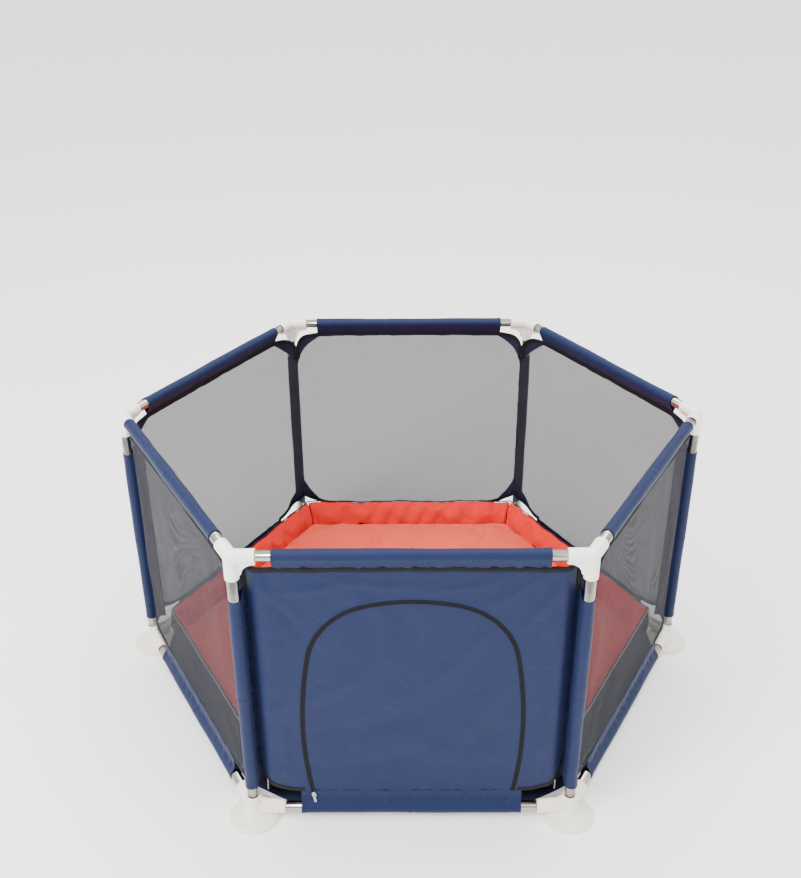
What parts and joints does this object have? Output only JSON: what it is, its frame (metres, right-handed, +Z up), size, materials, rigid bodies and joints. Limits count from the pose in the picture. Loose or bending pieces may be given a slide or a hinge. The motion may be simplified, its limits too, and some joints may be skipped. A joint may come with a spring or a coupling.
{
  "type": "playpen",
  "caption": "Hexagonal fabric playpen on a steel tube frame, with mesh walls, a zipped door in a solid front wall, and a quilted red mat with raised edges inside.",
  "frame": {"origin": "on the ground, under the centre of the hexagon", "axes": "+Z up, the door wall faces -Y, +X to the right of someone who faces the door from outside"},
  "size_m": [1.404, 1.229, 0.6643],
  "materials": {
    "steel_tube": "polished stainless steel tube",
    "white_plastic": "moulded, ivory white, satin gloss",
    "navy_fabric": "coated plain weave, navy blue, slight sheen",
    "netting": "black knitted netting, see-through",
    "binding": "black woven tape",
    "red_fabric": "brushed plain weave, coral red",
    "black_fabric": "brown-black plain weave",
    "piping": "pale piping cord",
    "zip_metal": "nickel-plated die casting"
  },
  "bodies": {
    "pen": {"top_rail_front_plug_half": "steel_tube", "top_rail_front_socket_half": "steel_tube", "top_rail_front_right_plug_half": "steel_tube", "top_rail_front_right_socket_half": "steel_tube", "top_rail_back_right_plug_half": "steel_tube", "top_rail_back_right_socket_half": "steel_tube", "top_rail_back_plug_half": "steel_tube", "top_rail_back_socket_half": "steel_tube", "top_rail_back_left_plug_half": "steel_tube", "top_rail_back_left_socket_half": "steel_tube", "top_rail_front_left_plug_half": "steel_tube", "top_rail_front_left_socket_half": "steel_tube", "bottom_rail_front_plug_half": "steel_tube", "bottom_rail_front_socket_half": "steel_tube", "bottom_rail_front_right_plug_half": "steel_tube", "bottom_rail_front_right_socket_half": "steel_tube", "bottom_rail_back_right_plug_half": "steel_tube", "bottom_rail_back_right_socket_half": "steel_tube", "bottom_rail_back_plug_half": "steel_tube", "bottom_rail_back_socket_half": "steel_tube", "bottom_rail_back_left_plug_half": "steel_tube", "bottom_rail_back_left_socket_half": "steel_tube", "bottom_rail_front_left_plug_half": "steel_tube", "bottom_rail_front_left_socket_half": "steel_tube", "post_front_left": "steel_tube", "post_front_right": "steel_tube", "post_right": "steel_tube", "post_back_right": "steel_tube", "post_back_left": "steel_tube", "post_left": "steel_tube", "top_connector_front_left": "white_plastic", "foot_front_left": "white_plastic", "top_connector_front_right": "white_plastic", "foot_front_right": "white_plastic", "top_connector_right": "white_plastic", "foot_right": "white_plastic", "top_connector_back_right": "white_plastic", "foot_back_right": "white_plastic", "top_connector_back_left": "white_plastic", "foot_back_left": "white_plastic", "top_connector_left": "white_plastic", "foot_left": "white_plastic", "door_wall": "navy_fabric", "mesh_wall_front_right": "netting", "mesh_wall_back_right": "netting", "mesh_wall_back": "netting", "mesh_wall_back_left": "netting", "mesh_wall_front_left": "netting", "post_sleeve_front_left": "navy_fabric", "post_sleeve_front_right": "navy_fabric", "post_sleeve_right": "navy_fabric", "post_sleeve_back_right": "navy_fabric", "post_sleeve_back_left": "navy_fabric", "post_sleeve_left": "navy_fabric", "floor_sheet": "navy_fabric"},
    "door": {"door_flap": "navy_fabric"},
    "slider": {"zip_slider": "zip_metal"},
    "pull": {"zip_pull": "zip_metal"},
    "mat": {"mat_bolster": "black_fabric", "mat_pad": "red_fabric"}
  },
  "joints": [
    {"name": "mat_lift", "type": "slide", "parent": "pen", "child": "mat", "axis": [0, 0, 1], "range_m": [0, 1.2]},
    {"name": "door_open", "type": "hinge", "parent": "pen", "child": "door", "pos_m": [0.003, -0.56417, 0.073], "axis": [1, 0, 0], "range_deg": [0, 97]},
    {"name": "zip_slide", "type": "hinge", "parent": "pen", "child": "slider", "pos_m": [0.786, -0.56292, 0.235], "axis": [0, 1, 0], "range_deg": [0, 20]},
    {"name": "zip_pull_swing", "type": "hinge", "parent": "slider", "child": "pull", "pos_m": [-0.19918, -0.56867, 0.0635], "axis": [-0.9852, 0, -0.1715], "range_deg": [0, 100]}
  ]
}
